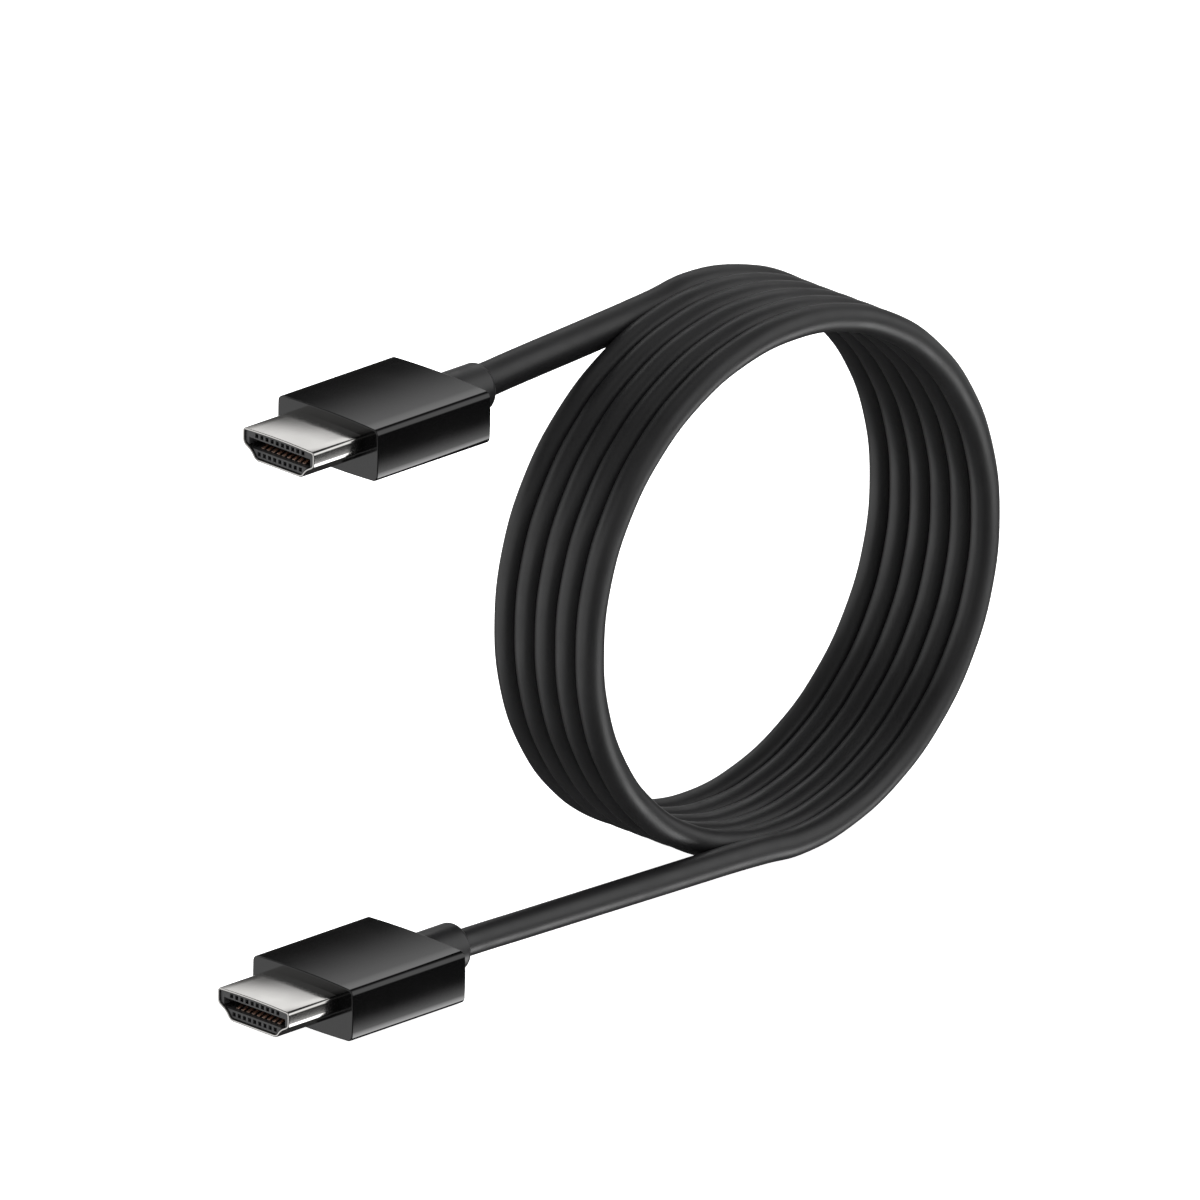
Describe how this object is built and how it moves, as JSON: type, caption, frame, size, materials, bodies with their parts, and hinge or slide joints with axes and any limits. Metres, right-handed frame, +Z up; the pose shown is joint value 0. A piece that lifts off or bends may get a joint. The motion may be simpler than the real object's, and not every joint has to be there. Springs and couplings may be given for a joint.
{
  "type": "hdmi cable",
  "caption": "Coiled audio and video cable with a flat steel-shelled plug on each end, one plug lying on the floor and one held out level with the top of the coil.",
  "frame": {"origin": "on the floor, under the middle of the whole object's box", "axes": "+X from the plugs' mouths towards the coil, +Y along the coil's axis from the lower plug's side to the upper plug's side, +Z up"},
  "size_m": [0.1412, 0.0402, 0.0782],
  "materials": {
    "plug_body": "moulded black plastic, satin gloss",
    "strain_relief": "moulded soft black plastic, satin",
    "cable_jacket": "extruded smooth black jacket, satin matt",
    "plug_shell": "nickel-plated sheet steel, satin bright",
    "insulator": "moulded dark grey plastic, matt",
    "contact": "bronze spring strip, bright"
  },
  "bodies": {
    "root": {"upper_plug_shell": "plug_shell", "upper_plug_insulator": "insulator", "upper_plug_upper_contact_01": "contact", "upper_plug_upper_contact_02": "contact", "upper_plug_upper_contact_03": "contact", "upper_plug_upper_contact_04": "contact", "upper_plug_upper_contact_05": "contact", "upper_plug_upper_contact_06": "contact", "upper_plug_upper_contact_07": "contact", "upper_plug_upper_contact_08": "contact", "upper_plug_upper_contact_09": "contact", "upper_plug_upper_contact_10": "contact", "upper_plug_lower_contact_01": "contact", "upper_plug_lower_contact_02": "contact", "upper_plug_lower_contact_03": "contact", "upper_plug_lower_contact_04": "contact", "upper_plug_lower_contact_05": "contact", "upper_plug_lower_contact_06": "contact", "upper_plug_lower_contact_07": "contact", "upper_plug_lower_contact_08": "contact", "upper_plug_lower_contact_09": "contact", "upper_plug_body": "plug_body", "upper_plug_strain_relief": "strain_relief", "lower_plug_shell": "plug_shell", "lower_plug_insulator": "insulator", "lower_plug_upper_contact_01": "contact", "lower_plug_upper_contact_02": "contact", "lower_plug_upper_contact_03": "contact", "lower_plug_upper_contact_04": "contact", "lower_plug_upper_contact_05": "contact", "lower_plug_upper_contact_06": "contact", "lower_plug_upper_contact_07": "contact", "lower_plug_upper_contact_08": "contact", "lower_plug_upper_contact_09": "contact", "lower_plug_upper_contact_10": "contact", "lower_plug_lower_contact_01": "contact", "lower_plug_lower_contact_02": "contact", "lower_plug_lower_contact_03": "contact", "lower_plug_lower_contact_04": "contact", "lower_plug_lower_contact_05": "contact", "lower_plug_lower_contact_06": "contact", "lower_plug_lower_contact_07": "contact", "lower_plug_lower_contact_08": "contact", "lower_plug_lower_contact_09": "contact", "lower_plug_body": "plug_body", "lower_plug_strain_relief": "strain_relief", "cable_coil": "cable_jacket", "cable_upper_lead": "cable_jacket", "cable_lower_lead": "cable_jacket"}
  },
  "joints": []
}
